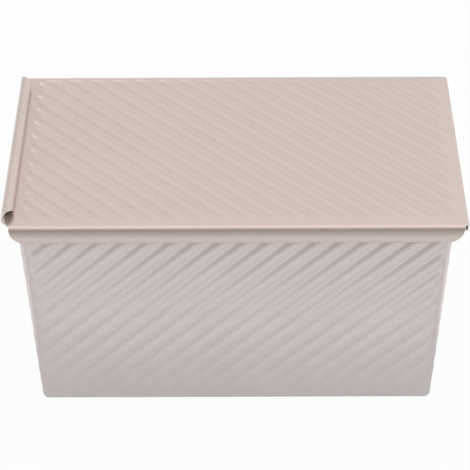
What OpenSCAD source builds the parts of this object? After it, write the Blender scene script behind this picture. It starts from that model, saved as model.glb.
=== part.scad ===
// Pullman loaf pan: a tapered sheet-metal pan with a rolled, wired rim, and a lid that
// slides along the rim. Millimetres, +Z up, X along the pan, origin on the floor below
// the middle of the pan. The lid is shut, and slides off towards +X.

/* [Pan] */
// Length of the pan's mouth, inside the rim
mouth_l = 199.8; // [160:0.2:330]
// Width of the pan's mouth, inside the rim
mouth_w = 109.8; // [80:0.2:140]
// Height of the pan, from the floor to the top of its rim
pan_h = 116; // [90:0.5:140]
// Lean of the two long walls, in degrees off upright
side_draft = 2.7; // [1:0.1:5]
// Lean of the two end walls, in degrees off upright
end_draft = 2.3; // [1:0.1:5]
// Radius of the pan's upright corners, inside
corner_r = 2.6; // [2.2:0.1:8]
// Radius of the pan's lower edges, outside
foot_r = 1.5; // [1:0.1:4]

/* [Sheet and wire] */
// Thickness of the steel sheet of the pan and the lid
sheet = 0.7; // [0.5:0.05:1]
// Diameter of the wire in the rolled rim
wire_d = 2.6; // [2:0.1:4]
// Gap all round the wire inside the roll
wire_gap = 0.1; // [0.05:0.01:0.3]
// Slit between the rolled edge and the outside of the wall
roll_slit = 0.6; // [0.4:0.1:1.2]

/* [Ripples] */
// Distance from one ripple to the next, square to them
rib_pitch = 7.92; // [6.6:0.02:14]
// Width of a ripple at its foot
rib_w = 5.6; // [4.4:0.1:5.8]
// Height of a ripple above its sheet
rib_h = 0.65; // [0.2:0.05:0.8]
// Plain margin from the lid's edges to the ends of its ripples
lid_margin = 4.6; // [3.5:0.1:12]
// Plain margin of a wall beside its ripples
wall_margin = 3.3; // [3:0.1:12]
// Plain margin of a wall under its ripples
foot_margin = 6.2; // [4:0.1:16]
// Plain margin of a wall above its ripples, from the top of the rim
top_margin = 10; // [9:0.1:20]
// Plain margin of the base round its ripples
base_margin = 7; // [5:0.1:16]
// Place of a lid ripple along X, from the middle of the lid
lid_rib_place = -1.6; // [-6:0.1:6]
// Place of a wall ripple along the wall, from the middle of the wall
wall_rib_place = 3.6; // [-6:0.1:6]
// Place of a base ripple along X, from the middle of the base
base_rib_place = 4; // [-6:0.1:6]

/* [Lid] */
// Outer radius of the bend from the lid's panel into its side channels
bend_r = 2.2; // [1.6:0.1:3]
// Height of a side channel, from the top of the panel to its lower face
channel_h = 9.8; // [8:0.1:14]
// Lean of a side channel's top, outward and down from its bend, in degrees off upright
channel_top_lean = 10; // [6:1:20]
// Lean of a side channel's foot, inward and down to its fold, in degrees off upright
channel_foot_lean = 16; // [6:1:24]
// Outer radius of the fold between a side channel and its lip
fold_r = 1.2; // [1.1:0.1:2]
// Flat width of the lip under the rim
lip_w = 2.2; // [1:0.1:2.6]
// Radius of the rounded ends of the side channels
channel_end_r = 9; // [3:0.1:9]
// Distance of the side channels' ends inside the ends of the panel
channel_notch = 1; // [0:0.1:2]
// Outer diameter of the curl at the lid's left end
curl_d = 5.3; // [4:0.1:10]
// Turn of the curl, in degrees from the panel
curl_turn = 304; // [180:2:310]
// Angle at which the curl's ends are sheared, in degrees off square
curl_shear = 57; // [0:1:62]
// Distance from the ends of the panel's bends to the ends of the curl, at its left
curl_short = 1.2; // [0:0.1:4]
// Width of the folded hem at the lid's right end
hem_w = 2.1; // [2.1:0.1:4]
// Height of the hem, from the top of the panel
hem_h = 4; // [3:0.1:7]
// Slit between the hem's edge and the underside of the panel
hem_slit = 0.3; // [0.2:0.1:1]

/* [Fits] */
// Gap between the top of the rim and the panel of the lid
lid_gap = 0.3; // [0.2:0.05:1]
// Gap between the widest part of the rim and each side channel
side_gap = 1.9; // [0.5:0.05:2.5]
// Gap between the end of the rim and the hem with the lid shut
stop_gap = 0.2; // [0.2:0.05:1]
// Distance of the curl's bend inside the other end of the rim
curl_inset = -0.3; // [-3:0.1:4]

/* [Hidden] */
$fn = 48;
// Steps in an arc of an outline
arc_steps = 10;
// Steps in the arc of the curl
curl_steps = 14;
// Steps in the rounding of the pan's lower edges
foot_steps = 4;
// Thickness of a slice that only carries an outline, and overshoot of a cut
slice = 0.02;
over = 0.1;
coat = [0.80, 0.72, 0.69];
steel = [0.62, 0.62, 0.63];

// Rolled rim, seen in section, with the wall's inner face at 0. The roll starts a small
// step outside that face, because a round face that only grazed it would not join cleanly.
roll_step = 0.05;
bore_r = wire_d / 2 + wire_gap;
roll_r = bore_r + sheet;
roll_x = roll_step + roll_r;
roll_z = pan_h - roll_r;
slit_angle = acos((sheet + roll_slit - roll_x) / roll_r);
rim_l = mouth_l + 2 * (roll_x + roll_r);
rim_w = mouth_w + 2 * (roll_x + roll_r);

// Outer half sizes of the tub at height z
function half_l(z) = mouth_l / 2 + sheet - (roll_z - z) * tan(end_draft);
function half_w(z) = mouth_w / 2 + sheet - (roll_z - z) * tan(side_draft);

// Lid, in section across X: the side channel bellies out between its bend and its fold
lid_z = pan_h + lid_gap + sheet;
bend_z = lid_z - bend_r;
fold_z = lid_z - channel_h + fold_r;
belly_r = (channel_h - bend_r - fold_r + bend_r * sin(channel_top_lean)
    + fold_r * sin(channel_foot_lean)) / (sin(channel_top_lean) + sin(channel_foot_lean));
belly_y = rim_w / 2 + side_gap + sheet - belly_r;
belly_z = bend_z + (bend_r - belly_r) * sin(channel_top_lean);
bend_y = belly_y + (belly_r - bend_r) * cos(channel_top_lean);
fold_y = belly_y + (belly_r - fold_r) * cos(channel_foot_lean);
lid_w = 2 * (belly_y + belly_r);

// Lid, in section across Y: the curl's bend and the hem
curl_r = curl_d / 2;
curl_x = -rim_l / 2 + curl_inset;
curl_z = lid_z - sheet + curl_r;
hem_r = hem_w / 2;
hem_x = rim_l / 2 + stop_gap + hem_r;
lid_l = hem_x - curl_x;
lid_mid = (hem_x + curl_x) / 2;

// Points of an arc about a centre, from one angle to another
function arc(centre, r, from, to, steps = arc_steps) =
    [for (i = [0 : steps]) let (a = from + (to - from) * i / steps)
        centre + r * [cos(a), sin(a)]];

// A folded strip of sheet, from its outer face to the face a sheet's thickness under it
function reversed(points) = [for (i = [len(points) - 1 : -1 : 0]) points[i]];

function channel_face(depth) = concat(
    [[0, lid_z - depth]],
    arc([bend_y, bend_z], bend_r - depth, 90, channel_top_lean),
    [for (i = [1 : arc_steps - 1])
        let (a = channel_top_lean - (channel_top_lean + channel_foot_lean) * i / arc_steps)
            [belly_y, belly_z] + (belly_r - depth) * [cos(a), sin(a)]],
    arc([fold_y, fold_z], fold_r - depth, -channel_foot_lean, -90),
    [[fold_y - lip_w, fold_z - fold_r + depth]]);

function curl_face(depth) =
    arc([curl_x, curl_z], curl_r - depth, 270, 270 - curl_turn, curl_steps);

function hem_face(depth) = concat(
    [[hem_x, lid_z - depth]],
    arc([hem_x, lid_z - hem_r], hem_r - depth, 90, 0),
    arc([hem_x, lid_z - hem_h + hem_r], hem_r - depth, 0, -180),
    [[hem_x - hem_r + depth, lid_z - sheet - hem_slit]]);

// One ripple along X: a low bar with sloping sides and eight-sided round ends, whose
// slopes rise half as fast as they run. It starts a little under its sheet's face.
module ripple(run, foot) {
    function outline(half_w, z) = let (near = half_w * tan(22.5))
        [for (p = [[1, half_w, -near], [1, half_w, near], [1, near, half_w], [-1, -near, half_w],
                [-1, -half_w, near], [-1, -half_w, -near], [-1, -near, -half_w], [1, near, -half_w]])
            [p[0] * run / 2 + p[1], p[2], z]];
    low = outline(foot / 2 + 2 * over, -over);
    high = outline(foot / 2 - 2 * rib_h, rib_h);
    n = len(low);
    polyhedron(concat(low, high), concat(
        [[for (i = [0 : n - 1]) i]],
        [[for (i = [n - 1 : -1 : 0]) n + i]],
        [for (i = [0 : n - 1]) [i, n + i, n + (i + 1) % n, (i + 1) % n]]));
}

// Ripples at 45 degrees in the XY plane, standing up from it. They run from the -X +Y side
// to the +X -Y side of a panel whose ends splay by flare for each step in Y. The panel's
// length is taken at its mid width, and place is where one ripple crosses the X axis.
module ripples(size, place, foot, flare = 0) {
    reach = size / 2 - [rib_w, rib_w] / 2;
    step = rib_pitch * sqrt(2);
    count = ceil((size[0] + size[1]) / step);
    for (i = [-count : count]) {
        sum = place + i * step;
        x0 = max((-reach[0] - flare * sum) / (1 - flare), sum - reach[1]);
        x1 = min((reach[0] + flare * sum) / (1 + flare), sum + reach[1]);
        run = (x1 - x0) * sqrt(2);
        if (run > rib_w / 2)
            translate([(x0 + x1) / 2, sum - (x0 + x1) / 2, 0])
                rotate([0, 0, -45])
                    ripple(run, foot);
    }
}

// The ripples of the four walls, standing out from a face that lies inset from the outside.
// Opposite walls match as one wall does when the pan is turned over end for end.
module wall_ripples(inset, foot) {
    low = foot_margin;
    high = pan_h - top_margin;
    mid = (low + high) / 2;
    for (side = [0, 1]) {
        place = wall_rib_place * (1 - 2 * side);
        rotate([0, 0, 180 * side])
            translate([0, -half_w(mid) + inset / cos(side_draft), mid])
                rotate([90 + side_draft, 0, 0])
                    mirror([1, 0, 0])
                        ripples([2 * half_l(mid) - 2 * wall_margin, (high - low) / cos(side_draft)],
                            -place, foot, tan(end_draft));
        rotate([0, 0, 90 + 180 * side])
            translate([0, -half_l(mid) + inset / cos(end_draft), mid])
                rotate([90 + end_draft, 0, 0])
                    ripples([2 * half_w(mid) - 2 * wall_margin, (high - low) / cos(end_draft)],
                        place, foot, tan(side_draft));
    }
}

// The tub as a solid with upright faces inset from the outside
module tub(inset, floor_z, edge_r) {
    r = corner_r + sheet - inset;
    hull() {
        for (i = [0 : foot_steps]) {
            a = 90 * i / foot_steps;
            z = floor_z + edge_r * (1 - cos(a));
            level(z, inset + edge_r * (1 - sin(a)), max(r - edge_r * (1 - sin(a)), r / 3));
        }
        level(roll_z + (inset > 0 ? over : 0), inset, r);
    }
}

// A thin rounded outline of the tub at one height
module level(z, inset, r) {
    for (x = [-1, 1], y = [-1, 1])
        translate([x * (half_l(z) - inset - r), y * (half_w(z) - inset - r), z])
            cylinder(h = slice, r = r, $fn = 32);
}

// Carries a section round the mouth of the pan, with the section's 0 on the mouth's line
module round_the_rim() {
    straight = [mouth_l - 2 * corner_r, mouth_w - 2 * corner_r];
    for (side = [0 : 3]) {
        across = side % 2;
        rotate([0, 0, 90 * side])
            translate([(across == 0 ? mouth_l : mouth_w) / 2, 0, 0])
                rotate([90, 0, 0])
                    linear_extrude(straight[1 - across], center = true)
                        children();
    }
    for (side = [0 : 3])
        translate([straight[0] / 2 * (side == 0 || side == 3 ? 1 : -1),
                straight[1] / 2 * (side < 2 ? 1 : -1), 0])
            rotate([0, 0, 90 * side])
                rotate_extrude(angle = 90)
                    translate([corner_r, 0])
                        children();
}

// The sheet rolled outward and back towards the wall
module roll_section() {
    translate([roll_x, roll_z])
        difference() {
            circle(roll_r);
            polygon(concat([[0, 0]], arc([0, 0], 2 * roll_r, 180, 360 - slit_angle)));
        }
}

module pan_body() {
    color(coat)
        difference() {
            union() {
                difference() {
                    union() {
                        tub(0, 0, foot_r);
                        wall_ripples(0, rib_w);
                    }
                    tub(sheet, sheet, foot_r - sheet);
                }
                round_the_rim() roll_section();
            }
            wall_ripples(sheet, rib_w - sheet);
            ripples([2 * half_l(0) - 2 * base_margin, 2 * half_w(0) - 2 * base_margin],
                base_rib_place, rib_w - sheet);
            round_the_rim()
                translate([roll_x, roll_z])
                    circle(bore_r);
        }
    color(coat)
        translate([0, 0, sheet])
            ripples([2 * half_l(0) - 2 * base_margin, 2 * half_w(0) - 2 * base_margin],
                base_rib_place, rib_w);
}

module rim_wire() {
    color(steel)
        round_the_rim()
            translate([roll_x, roll_z])
                circle(d = wire_d);
}

// A folded section carried along X between two places
module along_x(x0, x1) {
    translate([x0, 0, 0])
        rotate([90, 0, 90])
            linear_extrude(x1 - x0)
                children();
}

// A folded section carried along Y over a width about the middle
module along_y(width) {
    rotate([90, 0, 0])
        linear_extrude(width, center = true)
            children();
}

// What the set-back and rounded ends take off the side channels
module channel_ends() {
    for (end = [0, 1])
        translate([end == 0 ? curl_x : hem_x, 0, 0])
            mirror([end, 0, 0]) {
                along_y(lid_w + 2 * over)
                    difference() {
                        translate([-over, lid_z - channel_h - over])
                            square([channel_notch + channel_end_r + over, channel_end_r + over]);
                        translate([channel_notch + channel_end_r, lid_z - channel_h + channel_end_r])
                            circle(channel_end_r);
                    }
                for (side = [0, 1])
                    mirror([0, side, 0])
                        translate([-over, bend_y + over, lid_z - channel_h])
                            cube([channel_notch + over, lid_w / 2, channel_h + over]);
            }
}

module lid() {
    flat_w = 2 * bend_y;
    ripple_size = [lid_l - 2 * lid_margin, lid_w - 2 * lid_margin];
    color(coat)
        difference() {
            union() {
                difference() {
                    for (side = [0, 1])
                        mirror([0, side, 0])
                            along_x(curl_x, hem_x)
                                polygon(concat(channel_face(0), reversed(channel_face(sheet))));
                    channel_ends();
                }
                translate([lid_mid, 0, lid_z])
                    ripples(ripple_size, lid_rib_place, rib_w);
                curl(flat_w - 2 * curl_short);
                along_y(flat_w)
                    polygon(concat(hem_face(0), reversed(hem_face(sheet))));
            }
            translate([lid_mid, 0, lid_z - sheet])
                ripples(ripple_size, lid_rib_place, rib_w - sheet);
        }
}

// The open curl at the lid's left end. Its ends are sheared back, except at its lower left.
module curl(width) {
    difference() {
        along_y(width)
            polygon(concat(curl_face(0), reversed(curl_face(sheet))));
        for (end = [0, 1])
            mirror([0, end, 0]) {
                curl_end(width, curl_z);
                intersection() {
                    curl_end(width, lid_z + over);
                    translate([curl_x, -lid_w, lid_z])
                        cube([curl_d, 2 * lid_w, curl_d]);
                }
            }
    }
}

// What the shear takes off one end of the curl, from a height up
module curl_end(width, height) {
    translate([curl_x - curl_r, -width / 2, height])
        rotate([0, 0, curl_shear])
            translate([-over, -2 * curl_d, 0])
                cube([4 * curl_d, 2 * curl_d, 2 * curl_d]);
}

pan_body();
rim_wire();
lid();
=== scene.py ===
import math

import bpy
import numpy as np
from mathutils import Matrix, Vector


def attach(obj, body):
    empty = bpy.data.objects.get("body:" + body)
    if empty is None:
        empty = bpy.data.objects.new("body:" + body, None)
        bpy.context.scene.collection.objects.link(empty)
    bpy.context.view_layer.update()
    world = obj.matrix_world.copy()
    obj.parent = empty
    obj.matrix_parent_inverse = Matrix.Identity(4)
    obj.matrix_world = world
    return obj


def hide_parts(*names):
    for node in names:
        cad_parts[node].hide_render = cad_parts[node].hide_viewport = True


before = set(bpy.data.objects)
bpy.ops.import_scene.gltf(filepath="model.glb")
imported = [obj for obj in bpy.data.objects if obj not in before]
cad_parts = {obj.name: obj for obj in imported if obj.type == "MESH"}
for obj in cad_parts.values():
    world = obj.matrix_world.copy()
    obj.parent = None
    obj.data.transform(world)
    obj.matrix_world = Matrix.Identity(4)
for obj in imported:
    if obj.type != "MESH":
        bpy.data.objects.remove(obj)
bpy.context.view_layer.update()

MM = 0.001

# The pan, in metres
MOUTH_L = 199.8 * MM
MOUTH_W = 109.8 * MM
PAN_H = 116 * MM
SIDE_DRAFT = math.radians(2.7)
END_DRAFT = math.radians(2.3)
WALL_LEAN = (SIDE_DRAFT + END_DRAFT) / 2
CORNER_R = 2.6 * MM
FOOT_R = 1.5 * MM

# The sheet and the rolled rim
SHEET = 0.7 * MM
WIRE_D = 2.6 * MM
WIRE_GAP = 0.1 * MM
ROLL_SLIT = 0.6 * MM
ROLL_STEP = 0.05 * MM
ROLL_R = WIRE_D / 2 + WIRE_GAP + SHEET
ROLL_X = ROLL_STEP + ROLL_R
ROLL_Z = PAN_H - ROLL_R
SLIT_ANGLE = math.acos((SHEET + ROLL_SLIT - ROLL_X) / ROLL_R)
RIM_L = MOUTH_L + 2 * (ROLL_X + ROLL_R)
RIM_W = MOUTH_W + 2 * (ROLL_X + ROLL_R)

# The ripples' pitch across them, their step along a panel, their width and height
RIB_PITCH = 7.92 * MM
RIB_STEP = RIB_PITCH * math.sqrt(2)
RIB_W = 5.6 * MM
RIB_H = 0.65 * MM

# The form of a ripple: how far its flat top and its foot are from its middle line, and how
# long its ends are at a panel's high sides and at its low sides
LID_RIB = (1.1 * MM, 3.8 * MM, 2.6 * MM, 5.2 * MM)
PAN_RIB = (1.1 * MM, 3.8 * MM, 3.4 * MM, 3.4 * MM)

# How far outside its panel a ripple's end meets the sheet
RIB_OUT = 0.8 * MM

# The plain margins round the ripples, and where one ripple crosses the middle of its panel
LID_MARGIN = 4.6 * MM
WALL_MARGIN = 3.3 * MM
FOOT_MARGIN = 6.2 * MM
TOP_MARGIN = 10 * MM
BASE_MARGIN = 7 * MM
LID_RIB_PLACE = -1.6 * MM
WALL_RIB_PLACE = 3.6 * MM
BASE_RIB_PLACE = 4 * MM

# The height at which a wall's ripples end, and the middle of their height
RIPPLE_TOP = PAN_H - TOP_MARGIN
MID_Z = (FOOT_MARGIN + PAN_H - TOP_MARGIN) / 2

# The lid's side channels, with a bend, a belly, a fold and a lip
BEND_R = 2.2 * MM
CHANNEL_H = 9.8 * MM
TOP_LEAN = math.radians(10)
FOOT_LEAN = math.radians(16)
FOLD_R = 1.2 * MM
LIP_W = 2.2 * MM

# The channels' rounded ends, and how far and how soon under the panel they are set back
CHANNEL_END_R = 9 * MM
CHANNEL_NOTCH = 1 * MM
NOTCH_DEPTH = 0.2 * MM

# The curl at the lid's left end and the hem at its right end
CURL_R = 5.24 / 2 * MM
CURL_TURN = math.radians(304)
CURL_INSET = -0.3 * MM
HEM_R = 2.1 / 2 * MM
HEM_H = 4 * MM
HEM_SLIT = 0.3 * MM

# The lid's fit over the rim
LID_GAP = 0.3 * MM
SIDE_GAP = 1.9 * MM
STOP_GAP = 0.2 * MM

# Places on the lid that follow from its sizes
LID_Z = PAN_H + LID_GAP + SHEET
BEND_Z = LID_Z - BEND_R
FOLD_Z = LID_Z - CHANNEL_H + FOLD_R
BELLY_RISE = CHANNEL_H - BEND_R - FOLD_R + BEND_R * math.sin(TOP_LEAN) + FOLD_R * math.sin(FOOT_LEAN)
BELLY_R = BELLY_RISE / (math.sin(TOP_LEAN) + math.sin(FOOT_LEAN))
BELLY_Y = RIM_W / 2 + SIDE_GAP + SHEET - BELLY_R
BELLY_Z = BEND_Z + (BEND_R - BELLY_R) * math.sin(TOP_LEAN)
BEND_Y = BELLY_Y + (BELLY_R - BEND_R) * math.cos(TOP_LEAN)
FOLD_Y = BELLY_Y + (BELLY_R - FOLD_R) * math.cos(FOOT_LEAN)
CURL_X = -RIM_L / 2 + CURL_INSET
CURL_Z = LID_Z - SHEET + CURL_R
HEM_X = RIM_L / 2 + STOP_GAP + HEM_R
LID_W = 2 * (BELLY_Y + BELLY_R)
LID_L = HEM_X - CURL_X
LID_MID = (HEM_X + CURL_X) / 2

# How far the curl's ends are set back, in millimetres, at turns in degrees from the panel
CURL_CUT_AT = (0, 25, 45, 90, 180, 216, 230, 242, 270, 304)
CURL_CUT = (1.2, 1.3, 1.4, 1.9, 5.0, 6.3, 6.7, 7.2, 8.6, 10.0)

# How far in from the cut ends of the channels and of the curl the grid gives way to them
CHANNEL_REACH = 20 * MM
CURL_REACH = 18 * MM

# How finely the sheets are divided: grid steps to one ripple step, and parts to each arc
LID_STEPS = 12
PAN_STEPS = 7
BEND_PARTS = 9
BELLY_PARTS = 10
FOLD_PARTS = 7
LIP_PARTS = 3
CURL_PARTS = 34
HEM_TOP_PARTS = 6
HEM_FOOT_PARTS = 10
ROLL_PARTS = 18
FOOT_PARTS = 5
CORNER_PARTS = 6

# Heights under the middle of the roll that have a ring of their own
RINGS_UNDER_ROLL = (1.5 * MM, 4.5 * MM)

# Columns between a wall's last ripple column and its corner, and how far those begin
# inside the narrowest place of a corner's start
TAPER_COLUMNS = 4
TAPER_INSET = 1.5 * MM

# The least space between a grid line and an end that has its own line, in grid steps
END_SPACE = 0.4

# A ring belongs to the wall if its outward direction is at least this level
WALL_LEVEL = 0.99

# Edges sharper than this stay sharp, and lengths below this are rounding
SHARP = math.radians(50)
TINY = 1e-9

# The coat: colour, roughness and metallic share, and the same where the sheet is cut
# Both coats are the same real coating. The lid's copy is set warmer as painted light: it stands in for
# the warmer tone that the light from above gives the lid's top.
LID_COAT = (0.74, 0.62, 0.565)
PAN_COAT = (0.77, 0.67, 0.64)
COAT_GLOSS = (0.21, 0.6)
CUT_EDGE = (0.95, 0.90, 0.84)
CUT_GLOSS = (0.34, 0.2)

# The coat's fine grain and its large soft clouds, each between two levels of a noise
GRAIN_SCALE = 2600.0
GRAIN_FROM = 0.30
GRAIN_TO = 0.72
GRAIN_DARKER = 0.90
GRAIN_LIGHTER = 1.08
GRAIN_ROUGHER = 0.05
GRAIN_DEPTH = 0.03 * MM
GRAIN_BUMP = 0.25
CLOUD_SCALE = 26.0
CLOUD_FROM = 0.3
CLOUD_TO = 0.7
CLOUD_DARKER = 0.975

# The wire's steel
WIRE_SCALE = 420.0
WIRE_DARK = (0.48, 0.48, 0.49, 1)
WIRE_LIGHT = (0.68, 0.68, 0.69, 1)
WIRE_ROUGH = (0.28, 0.44)

# The room as gloss shows it, from the back horizon (0) over the top (0.5) to the front
# horizon (1), and the same from the left (0) to the right (1)
ROOM = ((0.0, 0.82), (0.05, 0.83), (0.08, 0.87), (0.11, 1.0), (0.15, 0.985), (0.19, 0.92),
        (0.25, 0.945), (0.40, 0.97), (0.5, 1.0), (0.72, 1.0), (0.86, 0.75), (0.94, 0.38), (1.0, 0.22))
ROOM_SIDES = ((0.0, 0.70), (0.2, 0.74), (0.4, 0.885), (0.5, 0.98), (0.7, 1.0), (1.0, 1.0))

# The floor as gloss shows it, at metres in front of the pan's middle, with painted shade: dimmer close
# in front of the pan (a painted shadow of the pan), behind it, and towards the camera's end of the
# room
FLOOR_PAINTED_SHADE = ((-1.05, (0.97, 0.98, 1.0)), (-0.8, (0.97, 0.98, 1.0)), (-0.55, (0.60, 0.60, 0.61)),
         (-0.25, (0.60, 0.60, 0.61)), (-0.13, (0.95, 0.96, 0.98)), (-0.05, (0.96, 0.98, 1.0)),
         (0.05, (0.655, 0.68, 0.73)), (0.07, (0.68, 0.705, 0.755)), (0.10, (0.765, 0.80, 0.845)),
         (0.13, (0.87, 0.91, 0.925)), (0.155, (0.875, 0.915, 0.93)), (0.18, (0.77, 0.80, 0.81)),
         (0.205, (0.63, 0.65, 0.66)), (0.24, (0.51, 0.515, 0.52)), (0.30, (0.42, 0.42, 0.43)),
         (0.40, (0.24, 0.24, 0.25)), (0.75, (0.18, 0.18, 0.19)))
FLOOR_FROM = FLOOR_PAINTED_SHADE[0][0]
FLOOR_TO = FLOOR_PAINTED_SHADE[-1][0]

# Beside the pan the floor's painted shade curves back: from which X on, how strongly, and between
# which Y this sets in. The whole painted shade also slants a little along X.
SIDE_AT = 0.115
SIDE_GAIN = 2.0
SIDE_FROM = -0.20
SIDE_TO = -0.10
SLANT = 0.03

# The floor itself, and how much of it is glow: painted glow to gloss, plain white glow to the camera
FLOOR_SIZE = 6
FLOOR_Z = -0.2 * MM
FLOOR_COLOUR = (0.88, 0.88, 0.88, 1)
FLOOR_ROUGH = 0.7
FLOOR_SPECULAR = 0.1
PAINTED_GLOW_SHARE = 0.88
CAMERA_SHARE = 0.94
WHITE = (1, 1, 1, 1)

# The camera, at the photograph's viewing angle
AZIMUTH = math.radians(0.147)
ELEVATION = math.radians(38.75)
CAMERA_ROLL = math.radians(-0.3)
DISTANCE = 0.9596
TARGET = Vector((-0.00045, 0, 0.0635))
SENSOR = 36
LENS = 148.09
CLIP_START = 0.05


# Meshes
def smoothstep(low, high, x):
    t = np.clip((x - low) / (high - low), 0, 1)
    return t * t * (3 - 2 * t)


def relief(x, y, size, place, form, flare=0.0):
    """Height of the ripples at points of a panel. They run along x + y = place, and so on.

    The panel's high sides are those at +x and +y. Its ends splay by flare for each step in y.
    """
    reach_x = (size[0] - RIB_W) / 2
    reach_y = (size[1] - RIB_W) / 2
    line = place + np.round((x + y - place) / RIB_STEP) * RIB_STEP
    x0 = np.maximum((-reach_x - flare * line) / (1 - flare), line - reach_y)
    x1 = np.minimum((reach_x + flare * line) / (1 + flare), line + reach_y)
    there = (x1 - x0) * math.sqrt(2) > RIB_W / 2
    away = np.abs(x + y - line) / math.sqrt(2)
    from_side = size[0] / 2 + flare * y - np.abs(x) + RIB_OUT
    from_end = size[1] / 2 - np.abs(y) + RIB_OUT
    side_length = np.where(x < 0, form[3], form[2])
    end_length = np.where(y < 0, form[3], form[2])
    ends = smoothstep(0, side_length, from_side) * smoothstep(0, end_length, from_end)
    return np.where(there, RIB_H * (1 - smoothstep(form[0], form[1], away)) * ends, 0)


def lattice(place, step, low, high):
    """Places of grid lines in phase with a ripple, between two ends that are left out."""
    first = math.ceil((low + END_SPACE * step - place) / step)
    last = math.floor((high - END_SPACE * step - place) / step)
    return place + step * np.arange(first, last + 1)


def grid_faces(ids, slant):
    """Triangles over a grid of vertex numbers, split along one diagonal or the other."""
    a = ids[:-1, :-1].ravel()
    b = ids[:-1, 1:].ravel()
    c = ids[1:, 1:].ravel()
    d = ids[1:, :-1].ravel()
    if slant > 0:
        return np.concatenate([np.stack([a, b, c], 1), np.stack([a, c, d], 1)])
    return np.concatenate([np.stack([a, b, d], 1), np.stack([b, c, d], 1)])


def folded_sheet(name, near, far, faces, materials):
    """A closed mesh from the two faces of a folded sheet, with its cut edges between them."""
    near = np.concatenate(near)
    far = np.concatenate(far)
    faces = np.concatenate(faces)
    count = len(near)
    sides = np.concatenate([faces[:, [0, 1]], faces[:, [1, 2]], faces[:, [2, 0]]])
    key = sides[:, 0].astype(np.int64) * count + sides[:, 1]
    back = sides[:, 1].astype(np.int64) * count + sides[:, 0]
    rim = sides[~np.isin(key, back)]
    edge = np.concatenate([
        np.stack([rim[:, 1], rim[:, 0], rim[:, 0] + count], 1),
        np.stack([rim[:, 1], rim[:, 0] + count, rim[:, 1] + count], 1)])
    tris = np.concatenate([faces, faces[:, ::-1] + count, edge])
    points = np.concatenate([near, far])
    mesh = bpy.data.meshes.new(name)
    mesh.from_pydata(points.tolist(), [], tris.tolist())
    for material in materials:
        mesh.materials.append(material)
    slots = np.zeros(len(tris), np.int32)
    slots[2 * len(faces):] = 1
    mesh.polygons.foreach_set("material_index", slots)
    mesh.shade_smooth()
    mesh.set_sharp_from_angle(angle=SHARP)
    mesh.update()
    piece = bpy.data.objects.new(name, mesh)
    bpy.context.scene.collection.objects.link(piece)
    return piece


# Node trees
def node(tree, kind, **values):
    """A new node with some of its inputs or settings given by name."""
    made = tree.nodes.new(kind)
    for key, value in values.items():
        if key in made.inputs:
            made.inputs[key].default_value = value
        else:
            setattr(made, key, value)
    return made


def math_node(tree, operation, first, second):
    """The output of a Math node of a link and a number, or of two links."""
    made = node(tree, "ShaderNodeMath", operation=operation)
    tree.links.new(first, made.inputs[0])
    if isinstance(second, float):
        made.inputs[1].default_value = second
    else:
        tree.links.new(second, made.inputs[1])
    return made.outputs[0]


def map_range(tree, source, low, high, to_low=0.0, to_high=1.0):
    """The output of a Map Range node that turns low to high into another range."""
    made = node(tree, "ShaderNodeMapRange")
    made.inputs["From Min"].default_value = low
    made.inputs["From Max"].default_value = high
    made.inputs["To Min"].default_value = to_low
    made.inputs["To Max"].default_value = to_high
    tree.links.new(source, made.inputs["Value"])
    return made.outputs["Result"]


def ramp(tree, source, stops):
    """The colour of a soft colour ramp with a stop for each place and grey or colour."""
    made = node(tree, "ShaderNodeValToRGB")
    made.color_ramp.interpolation = "EASE"
    elements = made.color_ramp.elements
    while len(elements) < len(stops):
        elements.new(0.5)
    for element, (place, value) in zip(elements, stops):
        element.position = place
        element.color = (list(value) if isinstance(value, tuple) else [value] * 3) + [1]
    tree.links.new(source, made.inputs["Fac"])
    return made.outputs["Color"]


def mixed(tree, factor, first, second):
    """A mix of two shaders by a link or a number."""
    made = node(tree, "ShaderNodeMixShader")
    if isinstance(factor, float):
        made.inputs["Fac"].default_value = factor
    else:
        tree.links.new(factor, made.inputs["Fac"])
    tree.links.new(first, made.inputs[1])
    tree.links.new(second, made.inputs[2])
    return made.outputs[0]


def multiplied(tree, first, second):
    """The product of two colours."""
    made = node(tree, "ShaderNodeMix", data_type="RGBA", blend_type="MULTIPLY")
    made.inputs["Factor"].default_value = 1.0
    tree.links.new(first, made.inputs["A"])
    tree.links.new(second, made.inputs["B"])
    return made.outputs["Result"]


def ray_kinds(tree):
    """Two outputs: 1 for what the camera sees directly, and 1 for what gloss or a clear body shows."""
    path = node(tree, "ShaderNodeLightPath")
    shown = math_node(tree, "MAXIMUM", path.outputs["Is Glossy Ray"],
                      path.outputs["Is Transmission Ray"])
    return path.outputs["Is Camera Ray"], shown


# Materials
def new_material(name):
    material = bpy.data.materials.new(name)
    material.use_nodes = True
    tree = material.node_tree
    tree.nodes.clear()
    shader = node(tree, "ShaderNodeBsdfPrincipled")
    output = node(tree, "ShaderNodeOutputMaterial")
    tree.links.new(shader.outputs[0], output.inputs["Surface"])
    return material, tree, shader


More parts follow.
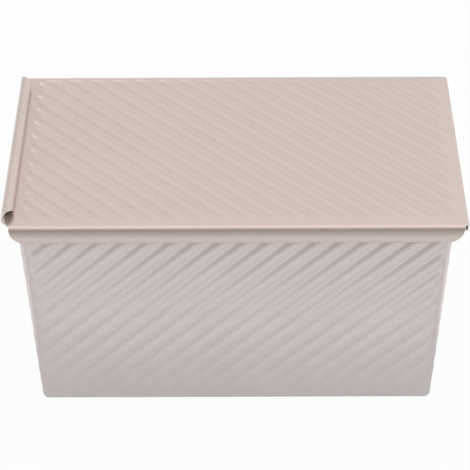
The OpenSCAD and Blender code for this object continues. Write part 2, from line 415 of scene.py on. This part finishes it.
def coat_material(name, colour, gloss):
    """Satin metallic non-stick coating: fine grain in its colour, its gloss and its surface."""
    rough, metallic = gloss
    material, tree, shader = new_material(name)
    shader.inputs["Metallic"].default_value = metallic
    place = node(tree, "ShaderNodeTexCoord")
    grain = node(tree, "ShaderNodeTexNoise", Scale=GRAIN_SCALE, Detail=2.0, Roughness=0.6)
    cloud = node(tree, "ShaderNodeTexNoise", Scale=CLOUD_SCALE, Detail=3.0, Roughness=0.55)
    for texture in (grain, cloud):
        tree.links.new(place.outputs["Object"], texture.inputs["Vector"])
    tint = node(tree, "ShaderNodeValToRGB")
    tint.color_ramp.elements[0].position = GRAIN_FROM
    tint.color_ramp.elements[1].position = GRAIN_TO
    tint.color_ramp.elements[0].color = [c * GRAIN_DARKER for c in colour] + [1]
    tint.color_ramp.elements[1].color = [min(1, c * GRAIN_LIGHTER) for c in colour] + [1]
    tree.links.new(grain.outputs["Fac"], tint.inputs["Fac"])
    clouds = map_range(tree, cloud.outputs["Fac"], CLOUD_FROM, CLOUD_TO, CLOUD_DARKER, 1.0)
    tree.links.new(multiplied(tree, tint.outputs["Color"], clouds), shader.inputs["Base Color"])
    roughness = map_range(tree, grain.outputs["Fac"], 0.0, 1.0, rough - GRAIN_ROUGHER,
                          rough + GRAIN_ROUGHER)
    tree.links.new(roughness, shader.inputs["Roughness"])
    bump = node(tree, "ShaderNodeBump", Strength=GRAIN_BUMP, Distance=GRAIN_DEPTH)
    tree.links.new(grain.outputs["Fac"], bump.inputs["Height"])
    tree.links.new(bump.outputs["Normal"], shader.inputs["Normal"])
    return material


def wire_material():
    """Drawn steel wire with a little dull bloom."""
    material, tree, shader = new_material("wire")
    shader.inputs["Metallic"].default_value = 1.0
    place = node(tree, "ShaderNodeTexCoord")
    bloom = node(tree, "ShaderNodeTexNoise", Scale=WIRE_SCALE, Detail=4.0, Roughness=0.6)
    tree.links.new(place.outputs["Object"], bloom.inputs["Vector"])
    tint = node(tree, "ShaderNodeValToRGB")
    tint.color_ramp.elements[0].color = WIRE_DARK
    tint.color_ramp.elements[1].color = WIRE_LIGHT
    tree.links.new(bloom.outputs["Fac"], tint.inputs["Fac"])
    tree.links.new(tint.outputs["Color"], shader.inputs["Base Color"])
    roughness = map_range(tree, bloom.outputs["Fac"], 0.0, 1.0, WIRE_ROUGH[0], WIRE_ROUGH[1])
    tree.links.new(roughness, shader.inputs["Roughness"])
    return material


# The lid
def arc_rows(centre_y, centre_z, radius, start, end, parts):
    """Places and outward directions along an arc of a section, after its first point."""
    made = []
    for i in range(1, parts + 1):
        a = start + (end - start) * i / parts
        made.append((centre_y + radius * math.cos(a), centre_z + radius * math.sin(a),
                     math.cos(a), math.sin(a)))
    return made


def lid_section():
    """The lid's section across its length: y, z and outward direction, from edge to edge."""
    flat_rows = lattice(0, RIB_STEP / LID_STEPS, 0, BEND_Y)
    rows = [(0.0, LID_Z, 0.0, 1.0)]
    rows += [(y, LID_Z, 0.0, 1.0) for y in flat_rows]
    rows.append((BEND_Y, LID_Z, 0.0, 1.0))
    rows += arc_rows(BEND_Y, BEND_Z, BEND_R, math.pi / 2, TOP_LEAN, BEND_PARTS)
    rows += arc_rows(BELLY_Y, BELLY_Z, BELLY_R, TOP_LEAN, -FOOT_LEAN, BELLY_PARTS)
    rows += arc_rows(FOLD_Y, FOLD_Z, FOLD_R, -FOOT_LEAN, -math.pi / 2, FOLD_PARTS)
    rows += [(FOLD_Y - LIP_W * i / LIP_PARTS, FOLD_Z - FOLD_R, 0.0, -1.0)
             for i in range(1, LIP_PARTS + 1)]
    half = np.array(rows)
    other = half[:0:-1] * [-1, 1, -1, 1]
    return np.concatenate([other, half]).T


def lid_panel():
    """The lid between its curl and its hem, with its side channels: a grid of each face."""
    columns = lattice(LID_MID + LID_RIB_PLACE, RIB_STEP / LID_STEPS, CURL_X, HEM_X)
    columns = np.concatenate([[CURL_X], columns, [HEM_X]])
    low_z = LID_Z - CHANNEL_H
    depth = np.clip(CHANNEL_END_R - (row_z - low_z), 0, CHANNEL_END_R)
    set_back = CHANNEL_END_R - np.sqrt(CHANNEL_END_R ** 2 - depth ** 2)
    set_back = set_back + CHANNEL_NOTCH * smoothstep(0, NOTCH_DEPTH, LID_Z - row_z)
    x = np.tile(columns, (len(row_y), 1))
    for far_in, sign in ((columns - CURL_X, 1), (HEM_X - columns, -1)):
        x += sign * set_back[:, None] * np.clip(1 - far_in / CHANNEL_REACH, 0, 1)[None, :]
    y = np.repeat(row_y[:, None], len(columns), 1)
    z = np.repeat(row_z[:, None], len(columns), 1)
    size = (LID_L - 2 * LID_MARGIN, LID_W - 2 * LID_MARGIN)
    z = z + relief(x - LID_MID, y, size, LID_RIB_PLACE, LID_RIB) * panel[:, None]
    near = np.stack([x, y, z], -1)
    normal = np.zeros_like(near)
    normal[..., 1] = row_ny[:, None]
    normal[..., 2] = row_nz[:, None]
    return near, near - normal * SHEET


def lid_curl(panel_y):
    """The nearly closed curl at the lid's left end, with its ends sheared back."""
    turned = CURL_TURN * np.arange(1, CURL_PARTS + 1) / CURL_PARTS
    angles = 1.5 * math.pi - turned
    across = np.interp(np.degrees(turned), CURL_CUT_AT, CURL_CUT) * MM
    inward = np.clip(1 - (BEND_Y - np.abs(panel_y)) / CURL_REACH, 0, 1)
    y = panel_y[:, None] - np.sign(panel_y)[:, None] * inward[:, None] * across[None, :]
    grids = []
    for radius in (CURL_R - SHEET, CURL_R):
        x = np.broadcast_to(CURL_X + radius * np.cos(angles), y.shape)
        z = np.broadcast_to(CURL_Z + radius * np.sin(angles), y.shape)
        grids.append(np.stack([x, y, z], -1))
    return grids


def lid_hem(panel_y):
    """The folded hem at the lid's right end."""
    path = arc_rows(HEM_X, LID_Z - HEM_R, HEM_R, math.pi / 2, 0, HEM_TOP_PARTS)
    path.append((HEM_X + HEM_R, LID_Z - HEM_H / 2, 1.0, 0.0))
    path.append((HEM_X + HEM_R, LID_Z - HEM_H + HEM_R, 1.0, 0.0))
    path += arc_rows(HEM_X, LID_Z - HEM_H + HEM_R, HEM_R, 0, -math.pi, HEM_FOOT_PARTS)
    path.append((HEM_X - HEM_R, LID_Z - SHEET - HEM_SLIT, -1.0, 0.0))
    path = np.array(path)
    y = np.repeat(panel_y[:, None], len(path), 1)
    near = np.stack([np.broadcast_to(path[:, 0], y.shape), y,
                     np.broadcast_to(path[:, 1], y.shape)], -1)
    far = near.copy()
    far[..., 0] -= path[:, 2] * SHEET
    far[..., 2] -= path[:, 3] * SHEET
    return near, far


row_y, row_z, row_ny, row_nz = lid_section()
panel = (np.abs(row_y) <= BEND_Y + TINY) & (row_z > LID_Z - TINY)
panel_rows = np.nonzero(panel)[0]
lid_grids = [lid_panel(), lid_curl(row_y[panel_rows]), lid_hem(row_y[panel_rows])]
lid_ids = []
count = 0
for near, far in lid_grids:
    lid_ids.append(count + np.arange(near[..., 0].size).reshape(near.shape[:2]))
    count += near[..., 0].size
main_ids, curl_ids, hem_ids = lid_ids
curl_ids = np.concatenate([curl_ids[:, ::-1], main_ids[panel_rows, :1]], 1)
hem_ids = np.concatenate([main_ids[panel_rows, -1:], hem_ids], 1)

lid_coat = coat_material("lid_coat", LID_COAT, COAT_GLOSS)
pan_coat = coat_material("pan_coat", PAN_COAT, COAT_GLOSS)
cut = coat_material("cut_edge", CUT_EDGE, CUT_GLOSS)

lid = folded_sheet(
    "lid_sheet",
    [near.reshape(-1, 3) for near, far in lid_grids],
    [far.reshape(-1, 3) for near, far in lid_grids],
    [grid_faces(main_ids, -1), grid_faces(curl_ids, 1), grid_faces(hem_ids, 1)],
    [lid_coat, cut])
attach(lid, "lid")
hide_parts("lid")


# The pan
def wall_row(height, in_by=0.0, nh=math.cos(WALL_LEAN), nz=-math.sin(WALL_LEAN)):
    """One ring of the pan below its roll, moved in by a length from the wall's face."""
    return (MOUTH_L / 2 - (ROLL_Z - height) * math.tan(END_DRAFT) - in_by,
            MOUTH_W / 2 - (ROLL_Z - height) * math.tan(SIDE_DRAFT) - in_by,
            CORNER_R - in_by, height, nh, nz)


def pan_rings(step):
    """The pan's rings: from the rolled edge over the roll, down the wall and round its foot.

    Each has its half length, half width, corner radius, height and outward direction.
    """
    foot_in = FOOT_R - SHEET
    foot_top = SHEET + foot_in
    rings = []
    for i in range(ROLL_PARTS + 1):
        a = -SLIT_ANGLE + (math.pi + SLIT_ANGLE) * i / ROLL_PARTS
        out = ROLL_X + ROLL_R * math.cos(a)
        rings.append((MOUTH_L / 2 + out, MOUTH_W / 2 + out, CORNER_R + out,
                      ROLL_Z + ROLL_R * math.sin(a), -math.cos(a), -math.sin(a)))
    heights = [ROLL_Z - under for under in RINGS_UNDER_ROLL]
    zone = lattice(MID_Z, step * math.cos(WALL_LEAN), FOOT_MARGIN - step, RIPPLE_TOP + step)
    heights += list(zone[::-1])
    heights += [(zone[0] + foot_top) / 2, foot_top]
    rings += [wall_row(height) for height in heights]
    for i in range(1, FOOT_PARTS + 1):
        a = math.pi / 2 * i / FOOT_PARTS
        rings.append(wall_row(foot_top - foot_in * math.sin(a), foot_in * (1 - math.cos(a)),
                              math.cos(a), -math.sin(a)))
    return np.array(rings).T


def stations(step, ends):
    """Places along a wall, one row for each ring, from one corner's start to the other's.

    Most are fixed places in phase with the ripples. The others take up the taper.
    """
    inner = ends.min() - TAPER_INSET
    fixed = lattice(WALL_RIB_PLACE, step, -inner, inner)
    share = np.arange(1, TAPER_COLUMNS + 1) / TAPER_COLUMNS
    right = fixed[-1] + (ends[:, None] - fixed[-1]) * share
    left = fixed[0] + (-ends[:, None] - fixed[0]) * share[::-1]
    return np.concatenate([left, np.tile(fixed, (len(ends), 1)), right], 1)


def ripple_height(side, right):
    """Height of a wall's ripples at places along it, to the right as seen from outside."""
    if side % 2 == 0:
        draft, flare, half = SIDE_DRAFT, END_DRAFT, MOUTH_L / 2
    else:
        draft, flare, half = END_DRAFT, SIDE_DRAFT, MOUTH_W / 2
    half_at_mid = half + SHEET - (ROLL_Z - MID_Z) * math.tan(flare)
    size = (2 * half_at_mid - 2 * WALL_MARGIN, (RIPPLE_TOP - FOOT_MARGIN) / math.cos(draft))
    up = (ring_z[:, None] - MID_Z) / math.cos(draft) + 0 * right
    place = WALL_RIB_PLACE if side < 2 else -WALL_RIB_PLACE
    if side % 2 == 0:
        return relief(-right, up, size, -place, PAN_RIB, math.tan(flare))
    return relief(right, up, size, place, PAN_RIB, math.tan(flare))


def wall(side):
    """x, y, outward direction and ripple height for one wall: 0 front, 1 right, 2 back, 3 left."""
    along = along_l if side % 2 == 0 else along_w
    if side > 1:
        along = along[:, ::-1]
    level = np.repeat(ring_w[:, None] if side % 2 == 0 else ring_l[:, None], along.shape[1], 1)
    sign = 1 if side < 2 else -1
    height = ripple_height(side, along * sign)
    zero = np.zeros_like(along)
    one = np.ones_like(along)
    if side % 2 == 0:
        return along, -sign * level, zero, -sign * one, height
    return sign * level, along, sign * one, zero, height


def corner(side):
    """The same for the corner after a wall. The ripples of both walls fade out on it."""
    sx = (1, 1, -1, -1)[side]
    sy = (-1, 1, 1, -1)[side]
    bends = np.arange(1, CORNER_PARTS) / CORNER_PARTS * math.pi / 2
    a = bends + (side - 1) * math.pi / 2
    cx = (ring_l - ring_r)[:, None] * sx
    cy = (ring_w - ring_r)[:, None] * sy
    nx = np.tile(np.cos(a), (len(ring_z), 1))
    ny = np.tile(np.sin(a), (len(ring_z), 1))
    ends = (ring_l - ring_r, ring_w - ring_r)
    arc_r = (ring_r + SHEET)[:, None]
    before = ripple_height(side, ends[side % 2][:, None] + arc_r * bends)
    after = ripple_height((side + 1) % 4,
                          -ends[1 - side % 2][:, None] - arc_r * (math.pi / 2 - bends))
    height = np.where(bends < math.pi / 4, before, after)
    return cx + ring_r[:, None] * nx, cy + ring_r[:, None] * ny, nx, ny, height


pan_step = RIB_STEP / PAN_STEPS
ring_l, ring_w, ring_r, ring_z, ring_nh, ring_nz = pan_rings(pan_step)
along_l = stations(pan_step, ring_l - ring_r)
along_w = stations(pan_step, ring_w - ring_r)
parts = []
starts = []
for side in range(4):
    starts.append(sum(part[0].shape[1] for part in parts))
    parts.append(wall(side))
    parts.append(corner(side))
pan_x, pan_y, pan_nx, pan_ny, height = (np.concatenate([part[i] for part in parts], 1)
                                        for i in range(5))
out = np.stack([pan_nx * ring_nh[:, None], pan_ny * ring_nh[:, None],
                np.repeat(ring_nz[:, None], pan_nx.shape[1], 1)], -1)
on_wall = (ring_nh > WALL_LEVEL) & (ring_z < ROLL_Z)
height = height * on_wall[:, None]
face = np.stack([pan_x, pan_y, np.repeat(ring_z[:, None], pan_x.shape[1], 1)], -1)
pan_near = [(face + out * height[..., None]).reshape(-1, 3)]
pan_far = [(face + out * (height[..., None] + SHEET)).reshape(-1, 3)]
pan_ids = np.arange(pan_x.size).reshape(pan_x.shape)
loop = np.concatenate([pan_ids, pan_ids[:, :1]], 1)
pan_faces = []
wall_len = [along_l.shape[1], along_w.shape[1]] * 2
for side in range(4):
    start = starts[side]
    stop = start + wall_len[side]
    slant = -1 if side % 2 == 0 else 1
    pan_faces.append(grid_faces(loop[:, start:stop], slant))
    pan_faces.append(grid_faces(loop[:, stop - 1:stop + CORNER_PARTS], slant))

# The pan's base, with its ripples pressed up
base_x, base_y = np.meshgrid(along_l[-1], along_w[-1])
base_l = MOUTH_L / 2 + SHEET - ROLL_Z * math.tan(END_DRAFT)
base_w = MOUTH_W / 2 + SHEET - ROLL_Z * math.tan(SIDE_DRAFT)
base_size = (2 * (base_l - BASE_MARGIN), 2 * (base_w - BASE_MARGIN))
base_h = relief(base_x, base_y, base_size, BASE_RIB_PLACE, PAN_RIB)
pan_near.append(np.stack([base_x, base_y, SHEET + base_h], -1).reshape(-1, 3))
pan_far.append(np.stack([base_x, base_y, base_h], -1).reshape(-1, 3))
base_ids = pan_x.size + np.arange(base_x.size).reshape(base_x.shape)
pan_faces.append(grid_faces(base_ids, -1))
edges = [base_ids[0], base_ids[:, -1], base_ids[-1, ::-1], base_ids[::-1, 0]]
for side in range(4):
    start = starts[side]
    stop = start + wall_len[side]
    pan_faces.append(grid_faces(np.stack([loop[-1, start:stop], edges[side]]), 1))
    arc = loop[-1, stop - 1:stop + CORNER_PARTS]
    middle = np.full(CORNER_PARTS, edges[side][-1])
    pan_faces.append(np.stack([arc[:-1], arc[1:], middle], 1))

pan = folded_sheet("pan_sheet", pan_near, pan_far, pan_faces, [pan_coat, cut])
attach(pan, "pan")
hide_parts("pan_body")

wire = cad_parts["rim_wire"]
wire.data.materials.clear()
wire.data.materials.append(wire_material())

# The room: white to the camera, shaded to gloss, and plain to everything else
world = bpy.data.worlds.new("studio")
bpy.context.scene.world = world
world.use_nodes = True
tree = world.node_tree
tree.nodes.clear()
place = node(tree, "ShaderNodeTexCoord")
split = node(tree, "ShaderNodeSeparateXYZ")
tree.links.new(place.outputs["Generated"], split.inputs[0])
room_colour = ramp(tree, map_range(tree, split.outputs["Y"], 1.0, -1.0), ROOM)
room_sides = ramp(tree, map_range(tree, split.outputs["X"], -1.0, 1.0), ROOM_SIDES)
room = node(tree, "ShaderNodeBackground", Strength=1.0)
tree.links.new(multiplied(tree, room_colour, room_sides), room.inputs["Color"])
fill = node(tree, "ShaderNodeBackground", Strength=1.0)
white = node(tree, "ShaderNodeBackground", Strength=1.0)
white.inputs["Color"].default_value = WHITE
by_camera, by_gloss = ray_kinds(tree)
surface = mixed(tree, by_gloss, fill.outputs[0], room.outputs[0])
surface = mixed(tree, by_camera, surface, white.outputs[0])
output = node(tree, "ShaderNodeOutputWorld")
tree.links.new(surface, output.inputs["Surface"])

# The floor: pale, nearly white to the camera, with painted shade and a painted glow that only gloss
# shows
bpy.ops.mesh.primitive_plane_add(size=FLOOR_SIZE, location=(0, 0, FLOOR_Z))
floor = bpy.context.object
floor.name = "floor"
material, tree, shader = new_material("floor")
shader.inputs["Base Color"].default_value = FLOOR_COLOUR
shader.inputs["Roughness"].default_value = FLOOR_ROUGH
shader.inputs["Specular IOR Level"].default_value = FLOOR_SPECULAR
# Painted shade and light: what gloss sees of the floor darkens and lightens with its place in front of
# and beside the pan
geometry = node(tree, "ShaderNodeNewGeometry")
spot = node(tree, "ShaderNodeSeparateXYZ")
tree.links.new(geometry.outputs["Position"], spot.inputs[0])
from_middle = math_node(tree, "ABSOLUTE", spot.outputs["X"], 0.0)
beside = math_node(tree, "MAXIMUM", math_node(tree, "SUBTRACT", from_middle, SIDE_AT), 0.0)
side_gain = map_range(tree, spot.outputs["Y"], SIDE_FROM, SIDE_TO, 0.0, SIDE_GAIN)
beside = math_node(tree, "MULTIPLY", beside, side_gain)
in_front = math_node(tree, "MULTIPLY", math_node(tree, "ADD", beside, spot.outputs["Y"]), -1.0)
slanted = math_node(tree, "MULTIPLY", spot.outputs["X"], SLANT)
in_front = math_node(tree, "ADD", in_front, slanted)
stops = [((at - FLOOR_FROM) / (FLOOR_TO - FLOOR_FROM), colour) for at, colour in FLOOR_PAINTED_SHADE]
painted_floor_shade = ramp(tree, map_range(tree, in_front, FLOOR_FROM, FLOOR_TO), stops)
lit = node(tree, "ShaderNodeBsdfDiffuse")
tree.links.new(painted_floor_shade, lit.inputs["Color"])
painted_floor_glow = node(tree, "ShaderNodeEmission", Strength=1.0)
tree.links.new(painted_floor_shade, painted_floor_glow.inputs["Color"])
white = node(tree, "ShaderNodeEmission", Strength=1.0)
by_camera, by_gloss = ray_kinds(tree)
to_gloss = mixed(tree, PAINTED_GLOW_SHARE, lit.outputs[0], painted_floor_glow.outputs[0])
to_camera = mixed(tree, CAMERA_SHARE, shader.outputs[0], white.outputs[0])
surface = mixed(tree, by_gloss, shader.outputs[0], to_gloss)
surface = mixed(tree, by_camera, surface, to_camera)
output = [n for n in tree.nodes if n.type == "OUTPUT_MATERIAL"][0]
tree.links.new(surface, output.inputs["Surface"])
floor.data.materials.append(material)


# Light and camera
def softbox(name, place, aim, size, power):
    """A rectangular lamp at a place, turned towards a point. Its power is in watts."""
    lamp = bpy.data.lights.new(name, "AREA")
    lamp.shape = "RECTANGLE"
    lamp.size = size[0]
    lamp.size_y = size[1]
    lamp.energy = power
    made = bpy.data.objects.new(name, lamp)
    bpy.context.scene.collection.objects.link(made)
    made.location = place
    made.rotation_euler = (Vector(aim) - Vector(place)).to_track_quat("-Z", "Y").to_euler()


# One weak lamp overhead, and a weaker one far behind that shines on the ripples' ends
softbox("overhead", place=(0.0, 0.0, 1.3), aim=(0, 0, 0.0), size=(1.2, 0.9), power=1.2)
softbox("behind", place=(-0.38, 2.8, 0.97), aim=(0, 0, 0.1), size=(0.64, 0.3), power=0.6)

look = Vector((-math.sin(AZIMUTH) * math.cos(ELEVATION), math.cos(AZIMUTH) * math.cos(ELEVATION),
               -math.sin(ELEVATION)))
right = Vector((math.cos(AZIMUTH), math.sin(AZIMUTH), 0))
up = right.cross(look)
right = right * math.cos(CAMERA_ROLL) + up * math.sin(CAMERA_ROLL)
up = right.cross(look)
camera = bpy.data.objects.new("camera", bpy.data.cameras.new("camera"))
camera.data.sensor_width = SENSOR
camera.data.lens = LENS
camera.data.clip_start = CLIP_START
bpy.context.scene.collection.objects.link(camera)
camera.matrix_world = Matrix.Translation(TARGET - look * DISTANCE) @ Matrix(
    (right, up, -look)).transposed().to_4x4()
bpy.context.scene.camera = camera
bpy.context.scene.view_settings.view_transform = "Standard"
